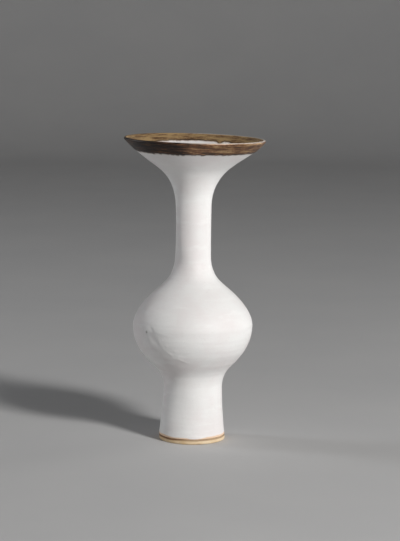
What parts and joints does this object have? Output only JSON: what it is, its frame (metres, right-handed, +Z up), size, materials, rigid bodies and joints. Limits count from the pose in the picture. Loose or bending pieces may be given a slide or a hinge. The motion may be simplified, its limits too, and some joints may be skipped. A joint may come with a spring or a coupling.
{
  "type": "vase",
  "caption": "Wheel-thrown porcelain vase: wide flared lip with a bronze glaze band, long narrow neck, round belly and waisted foot with a bare clay ring. White satin glaze.",
  "frame": {"origin": "centre of the foot ring's underside, on the surface that the vase stands on", "axes": "+Z up along the wheel's axis; +X and +Y are level, and every direction round the axis is alike"},
  "size_m": [0.114, 0.114, 0.246],
  "materials": {
    "fired_clay": "bare, matte, toasted cream",
    "luting_slip": "bare, matte, hidden under the glaze",
    "white_glaze": "satin, warm white",
    "bronze_glaze": "semi-metallic bronze brown with gold streaks"
  },
  "bodies": {
    "root": {"foot_section": "fired_clay", "waist_slip_joint": "luting_slip", "belly_lower": "fired_clay", "belly_slip_joint": "luting_slip", "belly_upper": "fired_clay", "neck_slip_joint": "luting_slip", "neck_and_mouth": "fired_clay", "outer_white_glaze": "white_glaze", "inner_white_glaze": "white_glaze", "lip_bronze_glaze": "bronze_glaze"}
  },
  "joints": []
}
